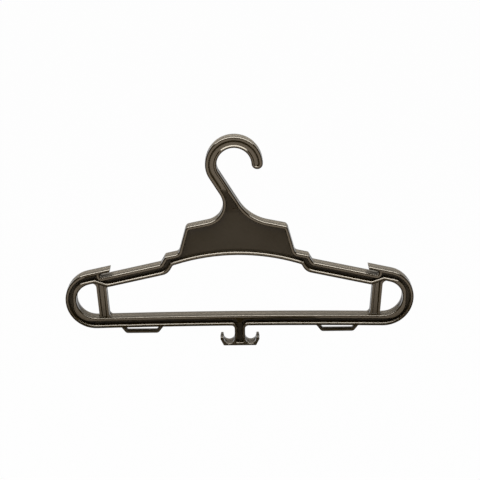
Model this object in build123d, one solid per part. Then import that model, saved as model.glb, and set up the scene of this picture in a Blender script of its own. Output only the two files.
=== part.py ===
from build123d import *
from dataclasses import dataclass
import math
import os

# Heavy clothes hanger, moulded in one piece: a round hook on a leaning stem, a crown plate, two
# stepped arms, two rounded end loops with struts, and a trouser bar with strap loops and a double
# accessory hook under it. The front view lies in X and Z, depth runs along Y, sizes are in mm.
# While it is drawn, X is 0 on the bar's middle and Z is 0 on the bar's underside there. The
# finished piece is then moved so that its origin is the seat of the hook.

# Overall sizes. The arms' top lines would meet on the middle at FRAME_PEAK over the bar's underside.
WIDTH = 440.0
DEPTH = 19.0
FRAME_PEAK = 104.4
ARM_SLOPE = 12.5
RAIL = 13.8
EDGE_BEVEL = 1.6

# Recess that leaves a web between two rims, on the front and on the back
RIM = 3.4
WEB = 5.0
POCKET_BEVEL = 0.7

# End loops: their bends, as far as their height leaves room
END_TOP_RADIUS = 36.0
END_LOW_RADIUS = 39.0
LOOP_CORNER_RADIUS = 5.5

# Struts, placed by the middle of their foot on the bar
STRUT_FROM_END = 48.5
STRUT_WIDTH = 12.5
STRUT_LEAN = 4.0
STRUT_RIM = 2.8
STRUT_SETBACK = 2.6
STRUT_POCKET_DEPTH = 2.4
STRUT_FOOT_RADIUS = 5.5
OPENING_CORNER_RADIUS = 2.5

# Strap notch in the top of each arm, under a lip. The rail steps down past the strut's head.
NOTCH_FROM_END = 44.4
NOTCH_RADIUS = 2.6
LIP_REACH = 13.2
LIP_UNDERCUT = 1.6
LIP_THICKNESS = 3.6
JOG_OVERHANG = 1.3
JOG_RADIUS = 6.0

# Crown plate, drawn about its own middle line: a ledge over each arm, then the shoulders
CROWN_OFFSET = -2.6
LEDGE_X = 90.1
LEDGE_RISE = 8.4
LEDGE_RADIUS = 3.0
STEP_LEAN = 30.0
STEP_FOOT_RADIUS = 4.0
STEP_TOE_RADIUS = 15.0
SHOULDER_X = 63.3
SHOULDER_RISE = 38.6
SHOULDER_RADIUS = 6.0
CROWN_TOP_SLOPE = 11.7
CROWN_SIDE_LEAN = 15.7
WAIST_RADIUS = 6.0
ARCH_DROP = 9.9
ARCH_RADIUS = 255.0
ARCH_HALF_SPAN = 76.0

# Hook and stem
HOOK_OFFSET = -5.0
HOOK_RISE = 79.5
HOOK_INNER_RADIUS = 21.6
HOOK_WIDTH = 14.0
HOOK_TIP_ANGLE = 3.0
HEEL_RADIUS = 24.5
STEM_LEAN = 31.7
STEM_LEFT_FOOT_RADIUS = 24.0
STEM_RIGHT_FOOT_RADIUS = 54.0
STEM_SOLID_LENGTH = 15.0
STEM_RAMP_FOOT = 17.4
STEM_POCKET_END_DEPTH = 0.9
STEM_POCKET_END_RADIUS = 2.3

# Bar: the rise of its curved middle, and how far from the ends the curve begins
BAR_BOW = 1.3
BAR_BOW_FROM_END = 65.0

# Strap loops under the bar
STRAP_LOOP_FROM_END = 95.5
STRAP_LOOP_DEPTH = 8.0
STRAP_LOOP_HALF_TOP = 28.0
STRAP_LOOP_HALF_FOOT = 20.5
STRAP_LOOP_GAP = 6.2
STRAP_LOOP_BAR = 3.6
STRAP_LOOP_FOOT_RADIUS = 5.1
STRAP_LOOP_BEVEL = 0.7

# Double accessory hook under the middle of the bar, with a rib that fades down its recess
POST_HALF_WIDTH = 6.5
POST_FLARE_RADIUS = 4.5
POST_FLARE_OVERLAP = 0.15
POST_RIM = 2.4
POST_RECESS_DROP = 23.4
POST_RECESS_RADIUS = 1.5
POST_RECESS_WAIST_DROP = 14.0
POST_RECESS_HALF_FOOT = 6.0
POST_RIB_HALF_TOP = 4.2
POST_RIB_HALF_NECK = 2.2
POST_RIB_HALF_FOOT = 1.5
POST_RIB_DROP = 19.0
POST_FOOT_DROP = 17.3
CLAW_TIP_DROP = 15.2
CLAW_KNEE_DROP = 18.0
CLAW_FOOT_DROP = 26.8
CLAW_TIP_HALF = 24.1
CLAW_KNEE_HALF = 25.0
CLAW_FOOT_HALF = 20.6
CLAW_TROUGH_HALF = 13.4
CLAW_WALL = 2.7
CLAW_TROUGH_DROP = 25.8
CLAW_INNER_KNEE_HALF = 20.4
CLAW_INNER_KNEE_DROP = 17.3
CLAW_TIP_RADIUS = 1.0
CLAW_KNEE_RADIUS = 1.5
CLAW_FOOT_RADIUS = 1.5
CLAW_BEND_RADIUS = 3.6
CLAW_BEVEL = 0.7

TOUCH = 0.001
HALF_DEPTH = DEPTH / 2
FRONT = Plane.XZ


@dataclass
class Corner:
    """A named corner of an outline, with the radius that rounds it."""
    name: str
    point: Vector
    radius: float = 0.0


def direction(angle):
    """Unit vector at an angle in degrees from +X towards +Z."""
    return Vector(math.cos(math.radians(angle)), math.sin(math.radians(angle)))


def meet(point_a, angle_a, point_b, angle_b):
    """Point where two straight edges meet, each given by a point on it and its angle."""
    along_a = direction(angle_a)
    along_b = direction(angle_b)
    gap = point_b - point_a
    cross = along_a.X * along_b.Y - along_a.Y * along_b.X
    return point_a + along_a * ((gap.X * along_b.Y - gap.Y * along_b.X) / cross)


def corner_arc(before, corner, after):
    """Start, middle and end of the tangent arc that rounds one corner."""
    back = (before.point - corner.point).normalized()
    ahead = (after.point - corner.point).normalized()
    half_angle = math.radians(back.get_angle(ahead)) / 2
    reach = corner.radius / math.tan(half_angle)
    bisector = (back + ahead).normalized()
    middle = corner.point + bisector * (corner.radius / math.sin(half_angle) - corner.radius)
    return corner.point + back * reach, middle, corner.point + ahead * reach


def radius_in_room(before, corner, after, room):
    """Radius of the tangent arc at a corner that takes up a given length of its straight edges."""
    turn = (before - corner).get_angle(after - corner)
    return room * math.tan(math.radians(turn) / 2)


def outline_face(corners):
    """Flat face inside a closed outline of straight edges and rounded corners."""
    count = len(corners)
    arcs = [corner_arc(corners[i - 1], corners[i], corners[(i + 1) % count]) for i in range(count)]
    edges = []
    for arc, following in zip(arcs, arcs[1:] + arcs[:1]):
        if (arc[2] - arc[0]).length > TOUCH:
            edges.append(ThreePointArc(*arc))
        if (following[0] - arc[2]).length > TOUCH:
            edges.append(Line(arc[2], following[0]))
    return make_face(edges)


def inset(corners, distance):
    """An anticlockwise outline moved inward: its edges shift and its arcs keep their centres."""
    moved = []
    for i, corner in enumerate(corners):
        into = (corner.point - corners[i - 1].point).normalized()
        out = (corners[(i + 1) % len(corners)].point - corner.point).normalized()
        normal_into = Vector(-into.Y, into.X)
        normal_out = Vector(-out.Y, out.X)
        shift = (normal_into + normal_out) * (distance / (1 + normal_into.dot(normal_out)))
        bend = into.X * out.Y - into.Y * out.X
        radius = max(corner.radius - math.copysign(distance, bend), 0.0)
        moved.append(Corner(corner.name, corner.point + shift, radius))
    return moved


def named(corners):
    """The corners of an outline by name."""
    return {corner.name: corner for corner in corners}


def mirrored(corners):
    """An outline drawn on the right, repeated on the left in the same sense of turn."""
    return [Corner(c.name, Vector(-c.point.X, c.point.Y), c.radius) for c in reversed(corners)]


# Places that follow from the sizes, on the right side
ARM_TOP = Vector(0, FRAME_PEAK)
NOTCH_STEP = (LIP_THICKNESS + 2 * NOTCH_RADIUS) / math.cos(math.radians(ARM_SLOPE))
LOOP_TOP = ARM_TOP + Vector(0, NOTCH_STEP)
NOTCH_X = WIDTH / 2 - NOTCH_FROM_END
LIP_TIP_X = NOTCH_X - LIP_REACH
STRUT_FOOT = Vector(WIDTH / 2 - STRUT_FROM_END, RAIL)
STRUT_ANGLE = 90 - STRUT_LEAN
STRUT_FRONT = HALF_DEPTH - STRUT_SETBACK
BOW_HALF_SPAN = WIDTH / 2 - BAR_BOW_FROM_END
BOW_SLOPE = math.degrees(math.atan(2 * BAR_BOW / BOW_HALF_SPAN))
BOW_RADIUS = BOW_HALF_SPAN / math.tan(math.radians(BOW_SLOPE))
BAR_PEAK = Vector(0, BAR_BOW)


def arm_line(x):
    """Height of an arm's top line at a distance from the middle."""
    return FRAME_PEAK - x * math.tan(math.radians(ARM_SLOPE))


# Heights of the crown, and the hook's middle line: a round bend, a tighter heel and the stem
LEDGE_Z = arm_line(LEDGE_X) + LEDGE_RISE
SHOULDER_Z = LEDGE_Z + SHOULDER_RISE
HOOK_CENTRE = Vector(HOOK_OFFSET, SHOULDER_Z + HOOK_RISE)
HOOK_RADIUS = HOOK_INNER_RADIUS + HOOK_WIDTH / 2
HEEL_CENTRE = HOOK_CENTRE - Vector(HOOK_RADIUS - HEEL_RADIUS, 0)
STEM_ANGLE = STEM_LEAN - 90
STEM_START = HEEL_CENTRE + direction(180 + STEM_LEAN) * HEEL_RADIUS
STEM_NORMAL = direction(STEM_LEAN)
SEAT_Z = HOOK_CENTRE.Y + HOOK_INNER_RADIUS


def end_radii(low, high):
    """Radii of an end loop's lower and upper bends, shortened alike to fit its height."""
    low_reach = END_LOW_RADIUS * math.tan(math.radians(90 + BOW_SLOPE) / 2)
    top_reach = END_TOP_RADIUS * math.tan(math.radians(90 - ARM_SLOPE) / 2)
    share = min(1.0, (high.Y - low.Y) / (low_reach + top_reach))
    return END_LOW_RADIUS * share, END_TOP_RADIUS * share


def side_corners(side):
    """Corners of one side of the hanger, from the bar up to the stem. side is 1 or -1."""
    end_x = Vector(side * WIDTH / 2, 0)
    low = meet(BAR_PEAK, -side * BOW_SLOPE, end_x, 90)
    high = meet(LOOP_TOP, -side * ARM_SLOPE, end_x, 90)
    low_radius, high_radius = end_radii(low, high)
    lip_foot_x = LIP_TIP_X + LIP_UNDERCUT
    lip_top = Vector(side * LIP_TIP_X, arm_line(LIP_TIP_X) + NOTCH_STEP)
    lip_foot = Vector(side * lip_foot_x, arm_line(lip_foot_x))
    ledge = Vector(CROWN_OFFSET + side * LEDGE_X, LEDGE_Z)
    shoulder = Vector(CROWN_OFFSET + side * SHOULDER_X, SHOULDER_Z)
    step_foot = meet(ledge, side * (STEP_LEAN - 90), ARM_TOP, -side * ARM_SLOPE)
    waist = meet(ledge, -side * ARM_SLOPE, shoulder, side * (CROWN_SIDE_LEAN - 90))
    stem_top = STEM_START + STEM_NORMAL * (side * HOOK_WIDTH / 2)
    stem_foot = meet(shoulder, -side * CROWN_TOP_SLOPE, stem_top, STEM_ANGLE)
    stem_foot_radius = STEM_RIGHT_FOOT_RADIUS if side > 0 else STEM_LEFT_FOOT_RADIUS
    stem_room = (stem_top - stem_foot).length - STEM_SOLID_LENGTH - HOOK_WIDTH / 2
    stem_foot_limit = radius_in_room(shoulder, stem_foot, stem_top, stem_room)
    return [
        Corner(f"end_low{side}", low, low_radius),
        Corner(f"end_high{side}", high, high_radius),
        Corner(f"lip_top{side}", lip_top),
        Corner(f"lip_foot{side}", lip_foot),
        Corner(f"step_foot{side}", step_foot, STEP_FOOT_RADIUS),
        Corner(f"ledge{side}", ledge, LEDGE_RADIUS),
        Corner(f"waist{side}", waist, WAIST_RADIUS),
        Corner(f"shoulder{side}", shoulder, SHOULDER_RADIUS),
        Corner(f"stem_foot{side}", stem_foot, min(stem_foot_radius, stem_foot_limit)),
        Corner(f"stem_top{side}", stem_top),
    ]


def frame_outline():
    """Outer outline of the frame, up to a cut across the stem under the heel."""
    bow = Corner("bow", BAR_PEAK, BOW_RADIUS)
    return [bow] + side_corners(1) + side_corners(-1)[::-1]


def strut_edge(offset):
    """A point and the angle of a line along the right strut, offset from its middle line."""
    return STRUT_FOOT + Vector(offset / math.cos(math.radians(STRUT_LEAN)), 0), STRUT_ANGLE


def window_outline():
    """The space that the rails go round, before the struts stand in it."""
    inner = named(inset(frame_outline(), RAIL))
    arch_slope = math.degrees(math.asin(ARCH_HALF_SPAN / ARCH_RADIUS))
    arch_rise = ARCH_RADIUS * (1 / math.cos(math.radians(arch_slope)) - 1)
    arch_peak = FRAME_PEAK - ARCH_DROP + arch_rise
    arch = Corner("arch", Vector(CROWN_OFFSET, arch_peak), ARCH_RADIUS)
    under_loop = inner["end_high1"].point
    under_arm = inner["step_foot1"].point
    jog_out = meet(under_loop, -ARM_SLOPE, *strut_edge(STRUT_WIDTH / 2 + JOG_OVERHANG))
    jog_in = meet(under_arm, -ARM_SLOPE, *strut_edge(-STRUT_WIDTH / 2 - JOG_OVERHANG))
    sides = {}
    for side in (1, -1):
        step = inner[f"step_foot{side}"]
        step_top = meet(step.point, side * (STEP_LEAN - 90), arch.point, -side * arch_slope)
        sides[side] = [
            inner[f"end_low{side}"],
            inner[f"end_high{side}"],
            Corner("jog_out", Vector(side * jog_out.X, jog_out.Y), JOG_RADIUS),
            Corner("jog_in", Vector(side * jog_in.X, jog_in.Y), JOG_RADIUS),
            Corner("step", step.point, STEP_TOE_RADIUS),
            Corner("step_top", step_top, LEDGE_RADIUS),
        ]
    return [inner["bow"]] + sides[1] + [arch] + sides[-1][::-1]


def end_opening():
    """The D-shaped opening of the right end loop, rounded at its foot as far as the bar runs straight."""
    window = named(window_outline())
    low = window["end_low1"]
    high = window["end_high1"]
    edge = strut_edge(STRUT_WIDTH / 2)
    foot = Corner("foot", meet(window["bow"].point, -BOW_SLOPE, *edge))
    top = Corner("top", meet(high.point, -ARM_SLOPE, *edge), LOOP_CORNER_RADIUS)
    straight = (corner_arc(foot, low, high)[0] - foot.point).length
    foot_limit = radius_in_room(low.point, foot.point, top.point, straight)
    foot.radius = min(STRUT_FOOT_RADIUS, foot_limit)
    return [foot, low, high, top]


def main_opening():
    """The large opening between the arms, the bar and the two struts."""
    window = window_outline()
    arch_at = [corner.name for corner in window].index("arch")
    step = window[arch_at - 2]
    bow = window[0]
    edge = strut_edge(-STRUT_WIDTH / 2)
    foot = Corner("foot", meet(bow.point, -BOW_SLOPE, *edge), STRUT_FOOT_RADIUS)
    top = Corner("top", meet(step.point, -ARM_SLOPE, *edge), OPENING_CORNER_RADIUS)
    return [bow, foot, top] + window[arch_at - 2:arch_at + 3] + mirrored([foot, top])


def notch():
    """The strap notch under the right lip, round at its closed end and open towards the middle."""
    centre_x = NOTCH_X - NOTCH_RADIUS
    rise = NOTCH_RADIUS / math.cos(math.radians(ARM_SLOPE))
    centre = Vector(centre_x, arm_line(centre_x) + rise)
    along = direction(-ARM_SLOPE)
    across = direction(90 - ARM_SLOPE) * NOTCH_RADIUS
    end = centre + along * NOTCH_RADIUS
    mouth = centre - along * (2 * LIP_REACH)
    return [
        Corner("floor_end", end - across, NOTCH_RADIUS),
        Corner("lip_end", end + across, NOTCH_RADIUS),
        Corner("lip_mouth", mouth + across),
        Corner("floor_mouth", mouth - across),
    ]


def hook_face():
    """The hook seen from the front: rounded tip, bend, heel and the top of the stem."""
    half = HOOK_WIDTH / 2
    tip = direction(HOOK_TIP_ANGLE)
    tip_centre = HOOK_CENTRE + tip * HOOK_RADIUS
    stem_end = STEM_START + direction(STEM_ANGLE) * HOOK_WIDTH
    inner_arc = CenterArc(HOOK_CENTRE, HOOK_RADIUS - half, HOOK_TIP_ANGLE, 180 - HOOK_TIP_ANGLE)
    outer_arc = CenterArc(HOOK_CENTRE, HOOK_RADIUS + half, HOOK_TIP_ANGLE, 180 - HOOK_TIP_ANGLE)
    inner_heel = CenterArc(HEEL_CENTRE, HEEL_RADIUS - half, 180, STEM_LEAN)
    outer_heel = CenterArc(HEEL_CENTRE, HEEL_RADIUS + half, 180, STEM_LEAN)
    round_tip = ThreePointArc(
        tip_centre - tip * half,
        tip_centre + direction(HOOK_TIP_ANGLE - 90) * half,
        tip_centre + tip * half,
    )
    right_edge = Line(STEM_START + STEM_NORMAL * half, stem_end + STEM_NORMAL * half)
    left_edge = Line(STEM_START - STEM_NORMAL * half, stem_end - STEM_NORMAL * half)
    stem_cut = Line(stem_end - STEM_NORMAL * half, stem_end + STEM_NORMAL * half)
    edges = [inner_arc, inner_heel, right_edge, stem_cut, left_edge, outer_heel, outer_arc, round_tip]
    return make_face(edges)


def claw_outline():
    """The double accessory hook and its post, rising into the bar."""
    flare_end = POST_HALF_WIDTH + 2 * POST_FLARE_RADIUS
    right = [
        Corner("foot", Vector(CLAW_FOOT_HALF, -CLAW_FOOT_DROP), CLAW_FOOT_RADIUS),
        Corner("knee", Vector(CLAW_KNEE_HALF, -CLAW_KNEE_DROP), CLAW_KNEE_RADIUS),
        Corner("tip_out", Vector(CLAW_TIP_HALF, -CLAW_TIP_DROP), CLAW_TIP_RADIUS),
        Corner("tip_in", Vector(CLAW_TIP_HALF - CLAW_WALL, -CLAW_TIP_DROP), CLAW_TIP_RADIUS),
        Corner("inner_knee", Vector(CLAW_INNER_KNEE_HALF, -CLAW_INNER_KNEE_DROP), CLAW_KNEE_RADIUS),
        Corner("trough", Vector(CLAW_TROUGH_HALF, -CLAW_TROUGH_DROP), CLAW_BEND_RADIUS),
        Corner("post_foot", Vector(POST_HALF_WIDTH, -POST_FOOT_DROP), CLAW_BEND_RADIUS),
        Corner("flare", Vector(POST_HALF_WIDTH, POST_FLARE_OVERLAP), POST_FLARE_RADIUS),
        Corner("flare_end", Vector(flare_end, POST_FLARE_OVERLAP)),
        Corner("head", Vector(flare_end, RIM)),
    ]
    return right + mirrored(right)


def post_recess():
    """The recess of the post, wider at its foot and open upward into the recess of the bar."""
    half = POST_HALF_WIDTH - POST_RIM
    right = [
        Corner("floor", Vector(POST_RECESS_HALF_FOOT, -POST_RECESS_DROP), POST_RECESS_RADIUS),
        Corner("waist", Vector(half, -POST_RECESS_WAIST_DROP), CLAW_BEND_RADIUS),
        Corner("head", Vector(half, RAIL / 2)),
    ]
    return right + mirrored(right)


def pocket_face():
    """The recess of the rails and the plate: a rim in from every edge, and round each notch."""
    outer = inset(frame_outline(), RIM)
    for corner in outer:
        side = 1 if corner.point.X > 0 else -1
        past_notch = Vector(side * (NOTCH_X + RIM), 0)
        if corner.name.startswith("lip_"):
            corner.point = meet(corner.point, -side * ARM_SLOPE, past_notch, 90)
        if corner.name.startswith("lip_foot"):
            corner.radius = NOTCH_RADIUS + RIM
        if corner.name.startswith("stem_top"):
            corner.point += direction(STEM_ANGLE) * STEM_SOLID_LENGTH
            corner.radius = STEM_POCKET_END_RADIUS
    rails = outline_face(outer) - outline_face(inset(window_outline(), -RIM))
    rails += outline_face(post_recess())
    mouth = Vector(0, RIM)
    flares = rails.vertices().sort_by_distance(mouth)[:2]
    return fillet(flares, POST_FLARE_RADIUS + POST_RIM)


def strut_pocket_face():
    """The recess of the right strut, between its two rims and the rims of the rails."""
    half = STRUT_WIDTH / 2 - STRUT_RIM
    right_foot, angle = strut_edge(half)
    left_foot, angle = strut_edge(-half)
    along = direction(angle)
    strip = [
        Corner("left_foot", left_foot - along * RAIL),
        Corner("right_foot", right_foot - along * RAIL),
        Corner("right_head", right_foot + along * FRAME_PEAK),
        Corner("left_head", left_foot + along * FRAME_PEAK),
    ]
    return outline_face(strip) & outline_face(window_outline())


def edges_at_depth(shape, depth):
    """Edges that lie in a plane in front of the parting plane."""
    return shape.edges().filter_by_position(Axis.Y, -depth - TOUCH, -depth + TOUCH)


def make_body():
    """The front half of the frame, hook and claw, before the recesses."""
    solid = outline_face(frame_outline()) + hook_face()
    solid -= outline_face(notch())
    solid -= outline_face(mirrored(notch()))
    rails = solid - outline_face(window_outline())
    with_struts = solid - outline_face(main_opening())
    with_struts -= outline_face(end_opening())
    with_struts -= outline_face(mirrored(end_opening()))
    frame = extrude(FRONT * with_struts, STRUT_FRONT)
    frame += Pos(0, -STRUT_FRONT, 0) * extrude(FRONT * rails, STRUT_SETBACK)
    frame = chamfer(edges_at_depth(frame, HALF_DEPTH), EDGE_BEVEL)
    claw = extrude(FRONT * outline_face(claw_outline()), HALF_DEPTH)
    return frame + chamfer(edges_at_depth(claw, HALF_DEPTH), CLAW_BEVEL)


def stem_ramp():
    """The wedge that brings the recess up to a shallow end in the stem."""
    top = STEM_START.Y - (STEM_SOLID_LENGTH + RIM) * math.cos(math.radians(STEM_LEAN))
    shallow = STEM_POCKET_END_DEPTH - HALF_DEPTH
    side_view = Polyline(
        (-WEB / 2, SHOULDER_Z + STEM_RAMP_FOOT),
        (shallow, top),
        (shallow, top + HOOK_WIDTH),
        (-WEB / 2, top + HOOK_WIDTH),
        close=True,
    )
    return extrude(Plane.YZ * make_face(side_view), WIDTH / 2, both=True)


def post_rib():
    """The rib in the post's recess: flush with the bar's upper rim at its head, fading out at its foot."""
    top = RAIL - RIM
    foot = -POST_RIB_DROP
    front_view = Polyline(
        (POST_RIB_HALF_TOP, top),
        (-POST_RIB_HALF_TOP, top),
        (-POST_RIB_HALF_NECK, RIM),
        (-POST_RIB_HALF_FOOT, foot),
        (POST_RIB_HALF_FOOT, foot),
        (POST_RIB_HALF_NECK, RIM),
        close=True,
    )
    side_view = Polyline((0, top), (-HALF_DEPTH, top), (-WEB / 2, foot), (0, foot), close=True)
    rib = extrude(FRONT * make_face(front_view), HALF_DEPTH)
    return rib & extrude(Plane.YZ * make_face(side_view), POST_RIB_HALF_TOP, both=True)


def strap_loop_outline(top):
    """The trapezoid of a strap loop, carried up to a height over the bar's underside."""
    drop = STRAP_LOOP_GAP + STRAP_LOOP_BAR
    spread = (STRAP_LOOP_HALF_TOP - STRAP_LOOP_HALF_FOOT) / drop
    head_half = STRAP_LOOP_HALF_TOP + spread * top
    right = [
        Corner("foot", Vector(STRAP_LOOP_HALF_FOOT, -drop), STRAP_LOOP_FOOT_RADIUS),
        Corner("head", Vector(head_half, top)),
    ]
    return right + mirrored(right)


def strap_loop():
    """The front half of the right strap loop, reaching up into the bar."""
    hole = inset(strap_loop_outline(RIM + STRAP_LOOP_BAR), STRAP_LOOP_BAR)
    face = outline_face(strap_loop_outline(RIM)) - outline_face(hole)
    loop = extrude(FRONT * face, STRAP_LOOP_DEPTH / 2)
    loop = chamfer(edges_at_depth(loop, STRAP_LOOP_DEPTH / 2), STRAP_LOOP_BEVEL)
    loop_x = WIDTH / 2 - STRAP_LOOP_FROM_END
    underside = math.sqrt(BOW_RADIUS ** 2 - loop_x ** 2) - BOW_RADIUS
    return Pos(loop_x, 0, underside) * loop


def cut_recesses(body):
    """The front half with its recesses cut and their mouths bevelled."""
    rails = pocket_face()
    strut = strut_pocket_face()
    rail_cutter = Pos(0, -WEB / 2, 0) * extrude(FRONT * rails, HALF_DEPTH) - stem_ramp()
    strut_floor = STRUT_POCKET_DEPTH - STRUT_FRONT
    strut_cutter = Pos(0, strut_floor, 0) * extrude(FRONT * strut, STRUT_POCKET_DEPTH)
    half = body - rail_cutter - strut_cutter - mirror(strut_cutter, Plane.YZ)
    mouth = Pos(0, -HALF_DEPTH, 0) * (FRONT * rails)
    front_edges = edges_at_depth(half, HALF_DEPTH)
    rim_edges = [edge for edge in front_edges if mouth.distance_to(edge @ 0.5) < TOUCH]
    return chamfer(rim_edges, POCKET_BEVEL)


if __name__ == "__main__":
    front = cut_recesses(make_body()) + post_rib()
    loop = strap_loop()
    front = front + loop + mirror(loop, Plane.YZ)
    hanger = Pos(-HOOK_OFFSET, 0, -SEAT_Z) * (front + mirror(front, Plane.XZ))
    os.makedirs("parts", exist_ok=True)
    export_step(hanger, "parts/hanger.step")
    print("hanger", hanger.is_valid, len(hanger.solids()), hanger.volume, hanger.bounding_box())
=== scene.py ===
"""Looks of a heavy moulded clothes hanger, hung in plain soft studio light over a pale floor."""

import math

import bmesh
import bpy
from mathutils import Matrix, Vector
from mathutils.bvhtree import BVHTree
from mathutils.kdtree import KDTree


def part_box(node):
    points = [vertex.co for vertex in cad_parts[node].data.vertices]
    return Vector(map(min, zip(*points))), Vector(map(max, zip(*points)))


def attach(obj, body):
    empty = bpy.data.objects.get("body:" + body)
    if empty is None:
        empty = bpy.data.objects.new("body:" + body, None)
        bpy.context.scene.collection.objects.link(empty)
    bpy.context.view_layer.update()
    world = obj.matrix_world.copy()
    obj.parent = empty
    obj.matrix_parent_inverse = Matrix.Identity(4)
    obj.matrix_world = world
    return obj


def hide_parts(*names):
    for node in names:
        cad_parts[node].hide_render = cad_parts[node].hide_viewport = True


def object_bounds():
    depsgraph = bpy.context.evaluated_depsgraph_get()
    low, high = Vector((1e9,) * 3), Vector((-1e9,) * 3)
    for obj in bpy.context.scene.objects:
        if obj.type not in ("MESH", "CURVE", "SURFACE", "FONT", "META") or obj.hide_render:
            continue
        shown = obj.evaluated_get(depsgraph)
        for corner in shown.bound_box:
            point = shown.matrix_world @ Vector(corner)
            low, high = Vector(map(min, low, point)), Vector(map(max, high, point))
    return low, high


bl_info = {
    "name": "Moulded clothes hanger",
    "version": (1, 0, 0),
    "blender": (4, 5, 0),
    "location": "3D View > Sidebar > Hanger",
    "description": "Finishes a one-piece moulded clothes hanger and lights it in a small studio",
    "category": "Add Mesh",
}

MM = 0.001

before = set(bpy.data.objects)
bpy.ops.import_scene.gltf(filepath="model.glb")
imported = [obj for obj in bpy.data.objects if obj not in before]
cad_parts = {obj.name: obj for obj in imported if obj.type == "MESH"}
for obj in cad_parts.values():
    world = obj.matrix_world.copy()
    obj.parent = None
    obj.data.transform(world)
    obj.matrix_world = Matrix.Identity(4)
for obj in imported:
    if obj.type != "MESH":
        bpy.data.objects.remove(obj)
CAD_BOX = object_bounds()

# Depths and bevels of the solid, measured from its middle plane, by which its faces are told apart
HALF_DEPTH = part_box("hanger")[1][1]
OUTER_BEVEL = 1.6 * MM
RECESS_BEVEL = 0.7 * MM
CLAW_BEVEL = 0.7 * MM
WEB_HALF = 2.5 * MM
STRUT_FLOOR = 4.5 * MM

# The hook's middle line: an arc from the tip, a heel arc, and a straight run down the stem
HOOK_CENTRE = Vector((0, 0, -21.6 * MM))
HOOK_RADIUS = 28.6 * MM
HOOK_TIP_ANGLE = math.radians(3)
HEEL_RADIUS = 24.5 * MM
STEM_LEAN = math.radians(31.7)
STEM_RUN = 27 * MM

# The ramp in the stem's recess: its top along the stem, its foot, and the lengths its shading needs
RAMP_TOP = 19.5 * MM
RAMP_FOOT_Z = -83.7 * MM
RAMP_FADE = 7 * MM
RAMP_REACH = 75 * MM

# The point between the accessory hook's two troughs
CLAW_MIDDLE = Vector((5.0, 0, -249.83)) * MM

# Depth on each side where the draft begins
DRAFT_DEPTH = 6 * MM

# How near two depths count as one, how near points are to a face or plane, and how near they are merged
SAME_DEPTH = 0.05 * MM
TOUCH = 0.01 * MM
ON_PLANE = 0.001 * MM
WELD = 0.002 * MM

# Share of a face's normal that points to the front or back, for bevels and for upright walls
SLANT_LEAST = 0.4
SLANT_MOST = 0.95
UPRIGHT = 0.1

# Rounds on the outer edges: the rays that measure a rim, and how the room they find is evened out
RAY_START = 0.05 * MM
RAY_DROP = 0.03 * MM
RAY_REACH = 4
ROOM_REACH = 3.5 * MM
ROOM_PASSES = 4
LEAST_MITRE = 0.5

# How far cutting bodies stand out of the plastic, the groove's lip, and the steps along arcs
CLEAR = 0.5 * MM
LIP_SHARE = 0.35
HOOK_STEPS = 48
HEEL_STEPS = 8
TIP_STEPS = 12
BAR_STEPS = 48

# Depths at which satin gives way to polish, on the webs and on the ramp, and how the ramp faces
SATIN_TOP = 3.0 * MM
POLISH_FOOT = 3.6 * MM
RAMP_SATIN_TOP = 7.6 * MM
RAMP_POLISH_FOOT = 8.5 * MM
RAMP_FACING = 0.945
RAMP_SPREAD = 0.04
PLASTIC_IOR = 1.49

# Parts of the noise that make scuffs and flow marks, and how much duller or shinier each makes the plastic
SCUFF_NOISE = (0.35, 0.75)
SCUFF_ROUGHNESS = (-0.02, 0.06)
FLOW_NOISE = (0.3, 0.7)
FLOW_ROUGHNESS = (-0.03, 0.03)

# Limits of the stage's sheets, and the lamps' sizes, places and aims, in metres
FLOOR_FRONT = -0.9
FLOOR_BACK = 12
FLOOR_SIDE = 12
FLAG_SIDE = 3
FLAG_LIFT = 2 * MM
KEY_SIZE = (1.2, 0.8)
KEY_PLACE = (-0.3, -1.0, 1.0)
KEY_AIM = (0.0055, 0.0, -0.13)
CARD_SIZE = (2.4, 1.2)
CARD_PLACE = (0.0, 0.10, 1.0)
CARD_AIM = (0.0, 0.10, 0.0)

# Where the backdrop shows in the gloss: how far back a direction points, and how far to a side
BACKDROP_START = 0.45
BACKDROP_FULL = 0.8
BACKDROP_SIDE_FULL = 0.3
BACKDROP_SIDE_END = 0.6


# Colour and node helpers

def hex_to_linear(text):
    """Turns an sRGB hex colour into the linear RGBA that shader sockets take."""
    channels = [int(text[i:i + 2], 16) / 255 for i in (1, 3, 5)]
    linear = [c / 12.92 if c <= 0.04045 else ((c + 0.055) / 1.055) ** 2.4 for c in channels]
    return (*linear, 1.0)


def add_node(tree, kind, inputs=None, **settings):
    """Adds a node, sets its properties, and fills or links its inputs by name or number."""
    node = tree.nodes.new(kind)
    for name, value in settings.items():
        setattr(node, name, value)
    for key, value in (inputs or {}).items():
        if isinstance(value, bpy.types.NodeSocket):
            tree.links.new(value, node.inputs[key])
        else:
            node.inputs[key].default_value = value
    return node


def new_material(name):
    """An empty node material and its output node."""
    material = bpy.data.materials.new(name)
    material.use_nodes = True
    material.node_tree.nodes.clear()
    output = add_node(material.node_tree, "ShaderNodeOutputMaterial")
    return material, output


# Settings

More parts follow.
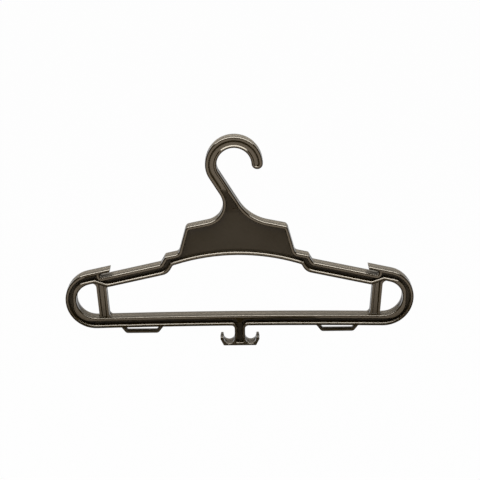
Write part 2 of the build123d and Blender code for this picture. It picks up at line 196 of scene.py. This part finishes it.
class HangerFinish(bpy.types.PropertyGroup):
    """Sizes and colours of the moulded plastic."""
    colour: bpy.props.StringProperty(
        name="Plastic colour", description="sRGB colour of the moulded plastic", default="#251D0C")
    gloss_roughness: bpy.props.FloatProperty(
        name="Gloss roughness", description="Roughness of the polished rims, sides and hook", default=0.15,
        min=0, max=1)
    satin_roughness: bpy.props.FloatProperty(
        name="Satin roughness", description="Roughness of the satin webs in the recesses", default=0.52,
        min=0, max=1)
    ripple_width: bpy.props.FloatProperty(
        name="Ripple width", description="Width of the slow ripples that cooling leaves in the plastic",
        default=14 * MM, unit="LENGTH")
    ripple_depth: bpy.props.FloatProperty(
        name="Ripple depth", description="Depth of those ripples", default=0.02 * MM, unit="LENGTH")
    rim_growth: bpy.props.FloatProperty(
        name="Rim growth", description="How much wider the rims are than on the solid", default=0.7 * MM,
        unit="LENGTH")
    edge_radius: bpy.props.FloatProperty(
        name="Edge radius", description="Radius of the outer edges where the rim has room for it",
        default=2.5 * MM, unit="LENGTH")
    groove_half: bpy.props.FloatProperty(
        name="Groove half width", description="Half the width of the shallow groove along the hook",
        default=3.75 * MM, unit="LENGTH")
    groove_shift: bpy.props.FloatProperty(
        name="Groove shift", description="How far the groove lies inside the hook's middle line",
        default=0.65 * MM, unit="LENGTH")
    groove_depth: bpy.props.FloatProperty(
        name="Groove depth", description="Depth of that groove", default=1.1 * MM, unit="LENGTH")
    flow_width: bpy.props.FloatProperty(
        name="Flow width", description="Width of the pale and dark marks where the plastic flowed together",
        default=45 * MM, unit="LENGTH")
    flow_colour: bpy.props.StringProperty(
        name="Flow colour", description="sRGB colour of the plastic in the paler flow marks",
        default="#2B2211")
    scuff_width: bpy.props.FloatProperty(
        name="Scuff width", description="Width of the small dull marks of use",
        default=2.5 * MM, unit="LENGTH")
    trough_radius: bpy.props.FloatProperty(
        name="Trough radius", description="Radius of the accessory hook's round troughs",
        default=7.0 * MM, unit="LENGTH")
    trough_offset: bpy.props.FloatProperty(
        name="Trough offset", description="Distance of each trough's middle from the accessory hook's post",
        default=13.75 * MM, unit="LENGTH")
    strut_slope: bpy.props.FloatProperty(
        name="Strut slope", description="How far the walls of the struts' recesses lean in at their foot",
        default=1.0 * MM, unit="LENGTH")
    draft_rise: bpy.props.FloatProperty(
        name="Draft rise", description="How far the sides stand out at the parting line", default=0.2 * MM,
        unit="LENGTH")
    smooth_angle: bpy.props.FloatProperty(
        name="Smooth angle", description="Edges that turn less than this are shaded as one surface",
        default=math.radians(40), subtype="ANGLE")


class StudioSettings(bpy.types.PropertyGroup):
    """Camera, light and floor."""
    azimuth: bpy.props.FloatProperty(
        name="Azimuth", description="Turn of the camera about the hanger",
        default=math.radians(0.19), subtype="ANGLE")
    elevation: bpy.props.FloatProperty(
        name="Elevation", description="How far the camera looks down",
        default=math.radians(18.0), subtype="ANGLE")
    roll: bpy.props.FloatProperty(
        name="Roll", description="Turn of the camera about its line of sight",
        default=math.radians(-0.65), subtype="ANGLE")
    distance: bpy.props.FloatProperty(
        name="Distance", description="From the camera to the point it looks at",
        default=1.8038, unit="LENGTH")
    lens: bpy.props.FloatProperty(
        name="Lens", description="Focal length in millimetres, for a sensor 36 mm wide", default=108.0)
    target: bpy.props.FloatVectorProperty(
        name="Target", description="Point that the camera looks at",
        default=(0.0064, 0.0, -0.1209), subtype="TRANSLATION")
    floor_drop: bpy.props.FloatProperty(
        name="Floor drop", description="Height of the hanger over the floor", default=0.30, unit="LENGTH")
    paper: bpy.props.StringProperty(
        name="Paper colour", description="sRGB colour of the floor", default="#FFFFFF")
    paper_glow: bpy.props.FloatProperty(
        name="Paper glow", description="Share of plain white in the floor, whose rest shows shadow",
        default=0.97, min=0, max=1, subtype="FACTOR")
    # Colour of the flag: painted shade that shows only in the gloss of the lower edges
    painted_shade: bpy.props.StringProperty(
        name="Felt colour", description="sRGB colour of the flag under the hanger", default="#101010")
    flag_back: bpy.props.FloatProperty(
        name="Flag back", description="How far the flag reaches behind the hanger", default=0.6,
        unit="LENGTH")
    ambient: bpy.props.FloatProperty(
        name="Ambient", description="Level of the even light from the room", default=0.5)
    key_level: bpy.props.FloatProperty(
        name="Key level", description="Brightness of the soft key light", default=4.0)
    card_level: bpy.props.FloatProperty(
        name="Card level", description="Brightness of the overhead card in the gloss", default=22.0)
    room_level: bpy.props.FloatProperty(
        name="Room level", description="Brightness of the dark room in the gloss", default=0.03)
    backdrop_level: bpy.props.FloatProperty(
        name="Backdrop level", description="Brightness of the backdrop in the gloss", default=0.82)
    backdrop_colour: bpy.props.StringProperty(
        name="Backdrop colour", description="sRGB colour of the backdrop and the overhead card in the gloss",
        default="#FFF5E4")
    glow_level: bpy.props.FloatProperty(
        name="Glow level", description="Brightness of the pale glow low in front", default=2.7)
    glow_colour: bpy.props.StringProperty(
        name="Glow colour", description="sRGB colour of that glow", default="#FFECD4")
    glow_drop: bpy.props.FloatProperty(
        name="Glow drop", description="How far below the front the glow's middle lies",
        default=math.radians(17), subtype="ANGLE")
    glow_inner: bpy.props.FloatProperty(
        name="Glow inner", description="Angle from its middle within which the glow is full",
        default=math.radians(8), subtype="ANGLE")
    glow_outer: bpy.props.FloatProperty(
        name="Glow outer", description="Angle from its middle at which the glow ends",
        default=math.radians(17), subtype="ANGLE")
    glow_shape: bpy.props.FloatProperty(
        name="Glow shape", description="Height of the glow as a share of its width", default=0.55, min=0.1)


# Plastic

def moulded_plastic(finish):
    """Black polypropylene from a steel mould: crisp lines of light on its rims, a soft sheen on its webs."""
    material, output = new_material("black_moulded_polypropylene")
    tree = material.node_tree

    # The mould's webs were left satin, and its rims and sides polished, so gloss follows the depth
    place = add_node(tree, "ShaderNodeTexCoord").outputs["Object"]
    depth = add_node(tree, "ShaderNodeSeparateXYZ", {"Vector": place}).outputs["Y"]
    off_middle = add_node(tree, "ShaderNodeMath", {0: depth}, operation="ABSOLUTE").outputs[0]
    above_web = add_node(tree, "ShaderNodeMapRange", {
        "Value": off_middle, "From Min": SATIN_TOP, "From Max": POLISH_FOOT, "To Min": 0.0, "To Max": 1.0})

    # The stem's ramp is satin too: it is the only face under the rims that is a little tilted
    surface = add_node(tree, "ShaderNodeNewGeometry")
    facing = add_node(
        tree, "ShaderNodeVectorTransform", {"Vector": surface.outputs["True Normal"]},
        vector_type="NORMAL", convert_from="WORLD", convert_to="OBJECT")
    facing_depth = add_node(tree, "ShaderNodeSeparateXYZ", {"Vector": facing.outputs[0]}).outputs["Y"]
    flatness = add_node(tree, "ShaderNodeMath", {0: facing_depth}, operation="ABSOLUTE").outputs[0]
    tilted = add_node(tree, "ShaderNodeMath", {
        0: flatness, 1: RAMP_FACING, 2: RAMP_SPREAD}, operation="COMPARE")
    under_rims = add_node(tree, "ShaderNodeMapRange", {
        "Value": off_middle, "From Min": RAMP_SATIN_TOP, "From Max": RAMP_POLISH_FOOT,
        "To Min": 1.0, "To Max": 0.0})
    ramp = add_node(tree, "ShaderNodeMath", {
        0: tilted.outputs[0], 1: under_rims.outputs[0]}, operation="MULTIPLY")
    polished = add_node(tree, "ShaderNodeMath", {
        0: above_web.outputs[0], 1: ramp.outputs[0]}, operation="SUBTRACT", use_clamp=True)
    gloss = add_node(tree, "ShaderNodeMapRange", {
        "Value": polished.outputs[0], "To Min": finish.satin_roughness, "To Max": finish.gloss_roughness})

    # Flow marks change colour and gloss slowly. Real scuffs are finer, and are drawn wide enough to show
    flow = add_node(tree, "ShaderNodeTexNoise", {
        "Vector": place, "Scale": 1 / finish.flow_width, "Detail": 1.0, "Roughness": 0.4})
    scuffs = add_node(tree, "ShaderNodeTexNoise", {
        "Vector": place, "Scale": 1 / finish.scuff_width, "Detail": 3.0, "Roughness": 0.6})
    worn = add_node(tree, "ShaderNodeMapRange", {
        "Value": scuffs.outputs["Fac"], "From Min": SCUFF_NOISE[0], "From Max": SCUFF_NOISE[1],
        "To Min": SCUFF_ROUGHNESS[0], "To Max": SCUFF_ROUGHNESS[1]})
    uneven = add_node(tree, "ShaderNodeMapRange", {
        "Value": flow.outputs["Fac"], "From Min": FLOW_NOISE[0], "From Max": FLOW_NOISE[1],
        "To Min": FLOW_ROUGHNESS[0], "To Max": FLOW_ROUGHNESS[1]})
    marks = add_node(tree, "ShaderNodeMath", {0: worn.outputs[0], 1: uneven.outputs[0]}, operation="ADD")
    rough = add_node(tree, "ShaderNodeMath", {0: gloss.outputs[0], 1: marks.outputs[0]}, operation="ADD")
    shade = add_node(
        tree, "ShaderNodeMix", {
            "Factor": flow.outputs["Fac"],
            "A": hex_to_linear(finish.colour),
            "B": hex_to_linear(finish.flow_colour)},
        data_type="RGBA")

    # Cooling leaves slow ripples, which bend the lines of light along the rims
    ripples = add_node(tree, "ShaderNodeTexNoise", {
        "Vector": place, "Scale": 1 / finish.ripple_width, "Detail": 2.0, "Roughness": 0.45})
    bump = add_node(tree, "ShaderNodeBump", {
        "Height": ripples.outputs["Fac"], "Strength": 1.0, "Distance": finish.ripple_depth})
    shader = add_node(tree, "ShaderNodeBsdfPrincipled", {
        "Base Color": shade.outputs["Result"], "Roughness": rough.outputs[0], "IOR": PLASTIC_IOR,
        "Normal": bump.outputs["Normal"]})
    tree.links.new(shader.outputs["BSDF"], output.inputs["Surface"])
    return material


# Shape of the moulding

def depths(face):
    """The least and the greatest depth of a face's corners, from the hanger's middle plane."""
    values = [abs(vert.co.y) for vert in face.verts]
    return min(values), max(values)


def is_slanted(face):
    """Whether a face leans as a bevel does."""
    return SLANT_LEAST < abs(face.normal.y) < SLANT_MOST


def is_upright(face):
    """Whether a face stands square to the front, as a recess's wall does."""
    return abs(face.normal.y) < UPRIGHT


def is_recess_wall(face):
    """Whether a face is a wall of the long recess, from the web up to the small bevel at the mouth."""
    least, most = depths(face)
    from_web = abs(least - WEB_HALF) < SAME_DEPTH
    to_mouth = abs(most - (HALF_DEPTH - RECESS_BEVEL)) < SAME_DEPTH
    return is_upright(face) and from_web and to_mouth


def recess_sides(work):
    """The long recess's walls and the small bevels that run on from them to the rim."""
    mouth = HALF_DEPTH - RECESS_BEVEL - SAME_DEPTH
    sides = {face for face in work.faces if is_recess_wall(face)}
    front = sides
    while front:
        beside = {other for face in front for edge in face.edges for other in edge.link_faces} - sides
        front = {face for face in beside if is_slanted(face) and depths(face)[0] > mouth}
        sides = sides | front
    return sides


def is_outer_bevel(face):
    """Whether a face is part of the flat bevel along the hanger's outer edges."""
    least = depths(face)[0]
    foot = HALF_DEPTH - OUTER_BEVEL - SAME_DEPTH
    mouth = HALF_DEPTH - RECESS_BEVEL - SAME_DEPTH
    return is_slanted(face) and foot < least < mouth


def way_out(vert, faces):
    """The direction, seen from the front, in which a vertex's faces among these look, longer at corners."""
    normals = [face.normal for face in vert.link_faces if face in faces]
    ways = [Vector((normal.x, 0, normal.z)).normalized() for normal in normals]
    middle = sum(ways, Vector()).normalized()
    return middle / max(LEAST_MITRE, min(middle.dot(way) for way in ways))


def grow_rims(work, growth):
    """Moves the walls of the long recess inward, which leaves wider rims."""
    walls = recess_sides(work)
    moves = {vert: way_out(vert, walls) * growth for face in walls for vert in face.verts}
    for vert, move in moves.items():
        vert.co += move


def slope_strut_walls(work, run):
    """Moves the floor edges of the struts' recesses inward, so that their walls show from the front."""
    walls = {face for face in work.faces
             if is_upright(face) and abs(depths(face)[0] - STRUT_FLOOR) < SAME_DEPTH}
    low = {vert for face in walls for vert in face.verts if abs(vert.co.y) < STRUT_FLOOR + SAME_DEPTH}
    moves = {vert: way_out(vert, walls) * run for vert in low}
    for vert, move in moves.items():
        vert.co += move


def room_on_rim(work, bevels, most):
    """How far the edge at each bevel vertex can move in over the rim, from rays across the rim."""
    solid = BVHTree.FromBMesh(work)
    verts = {vert for face in bevels for vert in face.verts}
    crests = [vert for vert in verts if abs(vert.co.y) > HALF_DEPTH - TOUCH]
    near = KDTree(len(crests))
    rooms = []
    for number, vert in enumerate(crests):
        inward = -way_out(vert, bevels).normalized()
        start = vert.co + inward * RAY_START
        start.y *= 1 - RAY_DROP / HALF_DEPTH
        width = solid.ray_cast(start, inward, RAY_REACH * most)[3]
        rooms.append(most if width is None else min(most, max(0, width / 2 - RAY_START)))
        near.insert(vert.co, number)
    near.balance()
    room = {}
    for vert in verts:
        beside = near.find_range(vert.co, ROOM_REACH)
        room[vert] = min((rooms[number] for _, number, _ in beside), default=0)
    for _ in range(ROOM_PASSES):
        evened = {}
        for vert, own in room.items():
            others = [edge.other_vert(vert) for edge in vert.link_edges]
            values = [own] + [room[other] for other in others if other in room]
            evened[vert] = sum(values) / len(values)
        room = evened
    return room


def round_edges(work, radius):
    """Turns the flat bevels along the outer edges into rounds, as large as the rim leaves room for."""
    foot = HALF_DEPTH - OUTER_BEVEL
    for share in (0.25, 0.5, 0.75):
        for side in (1, -1):
            bevels = [face for face in work.faces if is_outer_bevel(face)]
            edges = {edge for face in bevels for edge in face.edges}
            verts = {vert for face in bevels for vert in face.verts}
            bmesh.ops.bisect_plane(
                work, geom=bevels + list(edges) + list(verts), dist=TOUCH,
                plane_co=(0, side * (foot + share * OUTER_BEVEL), 0), plane_no=(0, 1, 0))
    work.normal_update()
    bevels = {face for face in work.faces if is_outer_bevel(face)}
    room = room_on_rim(work, bevels, radius - OUTER_BEVEL)
    moves = {}
    for vert, extra in room.items():
        inset = abs(vert.co.y) - foot
        turn = inset / OUTER_BEVEL * math.pi / 2
        size = OUTER_BEVEL + extra
        depth = HALF_DEPTH - size + size * math.sin(turn)
        place = vert.co + way_out(vert, bevels) * (inset - size * (1 - math.cos(turn)))
        place.y = math.copysign(depth, vert.co.y)
        moves[vert] = place
    for vert, place in moves.items():
        vert.co = place


def shaped_copy(finish):
    """A merged copy of the solid's mesh with wider rims, sloped strut walls and rounded outer edges."""
    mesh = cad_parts["hanger"].data.copy()
    work = bmesh.new()
    work.from_mesh(mesh)
    bmesh.ops.remove_doubles(work, verts=work.verts, dist=WELD)
    work.normal_update()
    grow_rims(work, finish.rim_growth)
    slope_strut_walls(work, finish.strut_slope)
    work.normal_update()
    round_edges(work, finish.edge_radius)
    work.to_mesh(mesh)
    work.free()
    return mesh


# Grooves along the hook and troughs in the accessory hook

def flat_way(angle):
    """A unit vector in the hanger's plane, seen from the front."""
    return Vector((math.cos(angle), 0, math.sin(angle)))


def hook_line(shift):
    """Points along the hook, from its tip to the stem's recess, each with the way to the hook's outside."""
    line = []
    for step in range(HOOK_STEPS + 1):
        out = flat_way(HOOK_TIP_ANGLE + (math.pi - HOOK_TIP_ANGLE) * step / HOOK_STEPS)
        line.append((HOOK_CENTRE + out * (HOOK_RADIUS - shift), out))
    heel_centre = HOOK_CENTRE - Vector((HOOK_RADIUS - HEEL_RADIUS, 0, 0))
    for step in range(1, HEEL_STEPS + 1):
        out = flat_way(math.pi + STEM_LEAN * step / HEEL_STEPS)
        line.append((heel_centre + out * (HEEL_RADIUS - shift), out))
    place, out = line[-1]
    line.append((place + flat_way(STEM_LEAN - math.pi / 2) * STEM_RUN, out))
    return line


def groove_outline(line, outer, inner):
    """The outline of a groove along a line, of two half widths, with a round end at the hook's tip."""
    start, out = line[0]
    tip = flat_way(HOOK_TIP_ANGLE - math.pi / 2)
    turns = [math.pi * step / TIP_STEPS for step in range(1, TIP_STEPS)]
    middle = start + out * (outer - inner) / 2
    half = (outer + inner) / 2
    cap = [middle + tip * math.sin(turn) * inner - out * math.cos(turn) * half for turn in turns]
    outside = [place + out * outer for place, out in line]
    inside = [place - out * inner for place, out in reversed(line)]
    return outside + inside + cap


def close_body(work, rings):
    """Joins rings of vertices into one closed body."""
    for upper, lower in zip(rings, rings[1:]):
        for number in range(len(upper)):
            work.faces.new((upper[number - 1], upper[number], lower[number], lower[number - 1]))
    work.faces.new(rings[0])
    work.faces.new(rings[-1])


# The groove is built in rings and not swept along the hook, because its end at the tip is round in plan
def add_grooves(work, finish):
    """Bodies of the hook's two grooves: narrow lips, a dished outer half and a steeper inner side."""
    line = hook_line(finish.groove_shift)
    lip = LIP_SHARE * finish.groove_depth
    dish = finish.groove_half - lip

    # From above the face down to the floor: how far the outer and inner sides move out, and the height
    steps = (
        (CLEAR, CLEAR, CLEAR),
        (-lip, -lip, -lip),
        (-lip - 0.5 * dish, -2 * lip, -2 * lip),
        (-lip - dish, -finish.groove_depth, -finish.groove_depth),
    )
    for side in (1, -1):
        rings = []
        for widen_out, widen_in, rise in steps:
            lift = Vector((0, side * (HALF_DEPTH + rise), 0))
            outline = groove_outline(line, finish.groove_half + widen_out, finish.groove_half + widen_in)
            rings.append([work.verts.new(spot + lift) for spot in outline])
        close_body(work, rings)


def bar_ring(work, middle, depth, radius):
    """A ring of vertices about a line through the hanger's depth."""
    centre = middle + Vector((0, depth, 0))
    turns = [math.tau * step / BAR_STEPS for step in range(BAR_STEPS)]
    return [work.verts.new(centre + flat_way(turn) * radius) for turn in turns]


def add_troughs(work, finish):
    """Round bars that leave the accessory hook's two troughs, wider at the ends for a bevel."""
    mouth = finish.trough_radius + CLAW_BEVEL
    ends = ((-CLEAR, CLEAR), (CLAW_BEVEL, -CLAW_BEVEL))
    for sideways in (-finish.trough_offset, finish.trough_offset):
        middle = CLAW_MIDDLE + Vector((sideways, 0, 0))
        rings = [bar_ring(work, middle, depth - HALF_DEPTH, mouth + widen) for depth, widen in ends]
        rings += [
            bar_ring(work, middle, HALF_DEPTH - depth, mouth + widen) for depth, widen in reversed(ends)]
        close_body(work, rings)


def moulding_cutter(finish):
    """An object with the closed bodies that are cut out of the moulding."""
    work = bmesh.new()
    add_grooves(work, finish)
    add_troughs(work, finish)
    bmesh.ops.recalc_face_normals(work, faces=work.faces)
    mesh = bpy.data.meshes.new("moulding_cutter")
    work.to_mesh(mesh)
    work.free()
    return bpy.data.objects.new("moulding_cutter", mesh)


def cut(context, mesh, cutter):
    """The mesh with the cutter's bodies taken out of it."""
    block = bpy.data.objects.new("block", mesh)
    context.collection.objects.link(block)
    context.collection.objects.link(cutter)
    taken = block.modifiers.new("grooves", "BOOLEAN")
    taken.operation = "DIFFERENCE"
    taken.solver = "EXACT"
    taken.object = cutter
    result = bpy.data.meshes.new_from_object(block.evaluated_get(context.evaluated_depsgraph_get()))
    bodies = cutter.data
    bpy.data.objects.remove(block)
    bpy.data.objects.remove(cutter)
    bpy.data.meshes.remove(mesh)
    bpy.data.meshes.remove(bodies)
    if not result.polygons:
        raise RuntimeError("the grooves could not be cut out of the moulding")
    return result


# Edges and draft that the moulding gets after the cut

def band_ramp(work):
    """Adds edges across the stem on both sides of each end of the ramp, so that its shading fades in."""
    start = hook_line(0)[-2][0]
    down = flat_way(STEM_LEAN - math.pi / 2)
    up = Vector((0, 0, 1))
    foot = Vector((0, 0, RAMP_FOOT_Z))
    for reach in (-RAMP_FADE, RAMP_FADE):
        for place, normal in ((start + down * (RAMP_TOP + reach), down), (foot - up * reach, up)):
            near = [face for face in work.faces if (face.calc_center_median() - start).length < RAMP_REACH]
            parts = set(near)
            for face in near:
                parts.update(face.edges, face.verts)
            bmesh.ops.bisect_plane(work, geom=list(parts), dist=ON_PLANE, plane_co=place, plane_no=normal)


def draft_sides(work, rise):
    """Moves the sides out at mid depth, and gives back the vertices of the parting line there."""
    for depth in (0, DRAFT_DEPTH, -DRAFT_DEPTH):
        parts = work.verts[:] + work.edges[:] + work.faces[:]
        bmesh.ops.bisect_plane(work, geom=parts, dist=ON_PLANE, plane_co=(0, depth, 0), plane_no=(0, 1, 0))
    work.normal_update()
    parting = {vert for vert in work.verts if abs(vert.co.y) < TOUCH}
    moves = {vert: vert.normal.copy() for vert in parting}
    for vert, way in moves.items():
        vert.co += way * rise
    return parting


def shade_edges(work, parting, angle):
    """Shades the faces smooth, but keeps crisp the parting line and edges that turn more than the angle."""
    for face in work.faces:
        face.smooth = True
    work.normal_update()
    for edge in work.edges:
        on_parting = all(vert in parting for vert in edge.verts)
        edge.smooth = not on_parting and edge.calc_face_angle(0) < angle


class HANGER_OT_moulding(bpy.types.Operator):
    """Makes the visible moulding from the hanger's solid, with grooves, draft and the plastic's finish"""
    bl_idname = "hanger.moulding"
    bl_label = "Moulding"

    def execute(self, context):
        finish = context.scene.hanger_finish
        mesh = cut(context, shaped_copy(finish), moulding_cutter(finish))
        mesh.name = "hanger_moulding"
        work = bmesh.new()
        work.from_mesh(mesh)
        bmesh.ops.remove_doubles(work, verts=work.verts, dist=WELD)
        bmesh.ops.dissolve_degenerate(work, edges=work.edges, dist=WELD)
        band_ramp(work)
        parting = draft_sides(work, finish.draft_rise)
        shade_edges(work, parting, finish.smooth_angle)
        work.to_mesh(mesh)
        work.free()
        mesh.materials.clear()
        mesh.materials.append(moulded_plastic(finish))
        piece = bpy.data.objects.new("hanger_moulding", mesh)
        context.collection.objects.link(piece)
        weighted = piece.modifiers.new("weighted_normals", "WEIGHTED_NORMAL")
        weighted.keep_sharp = True
        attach(piece, "root")
        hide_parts("hanger")
        return {"FINISHED"}


# Stage

def seen_rays(tree):
    """A value of 1 for camera, mirror and glass rays, and 0 for the rays that carry light."""
    path = add_node(tree, "ShaderNodeLightPath")
    seen = add_node(tree, "ShaderNodeMath", {
        0: path.outputs["Is Camera Ray"], 1: path.outputs["Is Glossy Ray"]}, operation="MAXIMUM")
    return add_node(tree, "ShaderNodeMath", {
        0: seen.outputs[0], 1: path.outputs["Is Transmission Ray"]}, operation="MAXIMUM").outputs[0]


def paper_floor(studio):
    """Matt white paper off a roll: an even white with no sheen, and a faint shadow under the hanger."""
    material, output = new_material("matt_white_paper")
    tree = material.node_tree
    diffuse = add_node(tree, "ShaderNodeBsdfDiffuse", {"Color": hex_to_linear(studio.paper)})
    glow = add_node(tree, "ShaderNodeEmission", {"Color": hex_to_linear(studio.paper), "Strength": 1.0})
    share = add_node(tree, "ShaderNodeMath", {
        0: seen_rays(tree), 1: studio.paper_glow}, operation="MULTIPLY")
    mix = add_node(tree, "ShaderNodeMixShader", {
        "Fac": share.outputs[0], 1: diffuse.outputs[0], 2: glow.outputs[0]})
    tree.links.new(mix.outputs[0], output.inputs["Surface"])
    return material


def painted_shade_flag(studio):
    """Painted shade for the gloss: a near-black sheet that darkens the reflections on the lower edges, where
    the shade under the hanger falls.
    """
    material, output = new_material("painted_shade_flag")
    tree = material.node_tree
    painted_shade = add_node(tree, "ShaderNodeBsdfDiffuse", {"Color": hex_to_linear(studio.painted_shade)})
    tree.links.new(painted_shade.outputs[0], output.inputs["Surface"])
    return material


def studio_world(studio):
    """White for the camera. In the gloss a dark room, white behind the hanger and a pale glow in front."""
    world = bpy.data.worlds.new("studio")
    world.use_nodes = True
    tree = world.node_tree
    tree.nodes.clear()
    output = add_node(tree, "ShaderNodeOutputWorld")
    way = add_node(tree, "ShaderNodeTexCoord").outputs["Generated"]
    ways = add_node(tree, "ShaderNodeSeparateXYZ", {"Vector": way})

    # The backdrop, over the dark room's own level
    back = add_node(
        tree, "ShaderNodeMapRange", {
            "Value": ways.outputs["Y"], "From Min": BACKDROP_START, "From Max": BACKDROP_FULL,
            "To Min": 0.0, "To Max": studio.backdrop_level},
        interpolation_type="SMOOTHSTEP")
    sideways = add_node(tree, "ShaderNodeMath", {0: ways.outputs["X"]}, operation="ABSOLUTE")
    central = add_node(
        tree, "ShaderNodeMapRange", {
            "Value": sideways.outputs[0], "From Min": BACKDROP_SIDE_FULL, "From Max": BACKDROP_SIDE_END,
            "To Min": 1.0, "To Max": 0.0},
        interpolation_type="SMOOTHSTEP")
    behind = add_node(tree, "ShaderNodeMath", {
        0: back.outputs[0], 1: central.outputs[0], 2: studio.room_level}, operation="MULTIPLY_ADD")

    # The glow, wider than it is high
    low_front = (0.0, -math.cos(studio.glow_drop), -math.sin(studio.glow_drop))
    narrowed = add_node(tree, "ShaderNodeVectorMath", {
        0: way, 1: (studio.glow_shape, 1, 1)}, operation="MULTIPLY")
    towards = add_node(tree, "ShaderNodeVectorMath", {0: narrowed.outputs[0]}, operation="NORMALIZE")
    nearness = add_node(tree, "ShaderNodeVectorMath", {
        0: towards.outputs[0], 1: low_front}, operation="DOT_PRODUCT")
    glow = add_node(
        tree, "ShaderNodeMapRange", {
            "Value": nearness.outputs["Value"],
            "From Min": math.cos(studio.glow_outer), "From Max": math.cos(studio.glow_inner),
            "To Min": 0.0, "To Max": studio.glow_level},
        interpolation_type="SMOOTHSTEP")

    # What the gloss shows, what lights the plastic, and what the camera sees
    path = add_node(tree, "ShaderNodeLightPath")
    room = add_node(tree, "ShaderNodeBackground", {
        "Color": hex_to_linear(studio.backdrop_colour), "Strength": behind.outputs[0]})
    card = add_node(tree, "ShaderNodeBackground", {
        "Color": hex_to_linear(studio.glow_colour), "Strength": glow.outputs[0]})
    glossy = add_node(tree, "ShaderNodeAddShader", {0: room.outputs[0], 1: card.outputs[0]})
    plain = add_node(tree, "ShaderNodeBackground", {"Color": (1, 1, 1, 1), "Strength": 1.0})
    soft = add_node(tree, "ShaderNodeBackground", {"Color": (1, 1, 1, 1), "Strength": studio.ambient})
    lit = add_node(tree, "ShaderNodeMixShader", {
        "Fac": path.outputs["Is Glossy Ray"], 1: soft.outputs[0], 2: glossy.outputs[0]})
    white = add_node(tree, "ShaderNodeMath", {
        0: path.outputs["Is Camera Ray"], 1: path.outputs["Is Transmission Ray"]}, operation="MAXIMUM")
    seen = add_node(tree, "ShaderNodeMixShader", {
        "Fac": white.outputs[0], 1: lit.outputs[0], 2: plain.outputs[0]})
    tree.links.new(seen.outputs[0], output.inputs["Surface"])
    return world


def add_sheet(context, name, across, along, height, material):
    """A flat sheet of the stage, level, between two limits across and two along the line of sight."""
    mesh = bpy.data.meshes.new(name)
    corners = [(across[0], along[0]), (across[1], along[0]), (across[1], along[1]), (across[0], along[1])]
    mesh.from_pydata([(x, y, height) for x, y in corners], [], [(0, 1, 2, 3)])
    mesh.materials.append(material)
    sheet = bpy.data.objects.new(name, mesh)
    context.collection.objects.link(sheet)
    return sheet


def add_lamp(context, name, size, place, aim, radiance, lights, shows):
    """A rectangular soft lamp, out of the picture, that lights the plastic, shows in its gloss, or both."""
    light = bpy.data.lights.new(name, "AREA")
    light.shape = "RECTANGLE"
    light.size, light.size_y = size
    light.energy = radiance * math.pi * size[0] * size[1]
    lamp = bpy.data.objects.new(name, light)
    lamp.visible_camera = False
    lamp.visible_diffuse = lights
    lamp.visible_glossy = shows
    lamp.location = place
    lamp.rotation_euler = (Vector(aim) - Vector(place)).to_track_quat("-Z", "Y").to_euler()
    context.collection.objects.link(lamp)
    return lamp


def add_camera(context, studio):
    """The camera, turned about the point it looks at, and then about its line of sight."""
    camera = bpy.data.cameras.new("camera")
    camera.lens = studio.lens
    viewer = bpy.data.objects.new("camera", camera)
    turn = Matrix.Rotation(studio.azimuth, 4, "Z") @ Matrix.Rotation(math.pi / 2 - studio.elevation, 4, "X")
    away = turn.to_3x3() @ Vector((0, 0, studio.distance))
    spot = Matrix.Translation(Vector(studio.target) + away)
    viewer.matrix_world = spot @ turn @ Matrix.Rotation(studio.roll, 4, "Z")
    context.collection.objects.link(viewer)
    context.scene.camera = viewer


class HANGER_OT_stage(bpy.types.Operator):
    """Sets up the floor, the soft light and the camera"""
    bl_idname = "hanger.stage"
    bl_label = "Stage"

    def execute(self, context):
        studio = context.scene.hanger_studio
        context.scene.view_settings.view_transform = "Standard"
        context.scene.world = studio_world(studio)
        floor_z = CAD_BOX[0][2] - studio.floor_drop
        floor_across = (-FLOOR_SIDE, FLOOR_SIDE)
        floor_along = (FLOOR_FRONT, FLOOR_BACK)
        add_sheet(context, "floor", floor_across, floor_along, floor_z, paper_floor(studio))

        # The flag shows only in the gloss, as painted shade in the reflections of the lower edges
        flag_across = (-FLAG_SIDE, FLAG_SIDE)
        flag_along = (FLOOR_FRONT, studio.flag_back)
        flag = add_sheet(
            context, "dark_flag", flag_across, flag_along, floor_z + FLAG_LIFT, painted_shade_flag(studio))
        flag.visible_camera = False
        flag.visible_diffuse = False
        flag.visible_shadow = False

        # The key lights the plastic and stays out of its gloss, and the card does the opposite
        add_lamp(context, "key_softbox", KEY_SIZE, KEY_PLACE, KEY_AIM, studio.key_level, True, False)
        card = add_lamp(
            context, "overhead_card", CARD_SIZE, CARD_PLACE, CARD_AIM, studio.card_level, False, True)
        card.data.color = hex_to_linear(studio.backdrop_colour)[:3]
        add_camera(context, studio)
        return {"FINISHED"}


# Add-on

class HANGER_PT_panel(bpy.types.Panel):
    """Lists the hanger's steps in the sidebar"""
    bl_idname = "HANGER_PT_panel"
    bl_label = "Moulded hanger"
    bl_space_type = "VIEW_3D"
    bl_region_type = "UI"
    bl_category = "Hanger"

    def draw(self, context):
        column = self.layout.column()
        for name in HangerFinish.__annotations__:
            column.prop(context.scene.hanger_finish, name)
        column.operator(HANGER_OT_moulding.bl_idname)
        for name in StudioSettings.__annotations__:
            column.prop(context.scene.hanger_studio, name)
        column.operator(HANGER_OT_stage.bl_idname)


CLASSES = (HangerFinish, StudioSettings, HANGER_OT_moulding, HANGER_OT_stage, HANGER_PT_panel)


def register():
    """Adds the classes and the scene's settings."""
    for cls in CLASSES:
        bpy.utils.register_class(cls)
    bpy.types.Scene.hanger_finish = bpy.props.PointerProperty(type=HangerFinish)
    bpy.types.Scene.hanger_studio = bpy.props.PointerProperty(type=StudioSettings)


def unregister():
    """Takes the scene's settings and the classes away."""
    del bpy.types.Scene.hanger_studio
    del bpy.types.Scene.hanger_finish
    for cls in reversed(CLASSES):
        bpy.utils.unregister_class(cls)


def main():
    """Registers the add-on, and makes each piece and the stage."""
    register()
    bpy.ops.hanger.moulding()
    bpy.ops.hanger.stage()


if __name__ == "__main__":
    main()
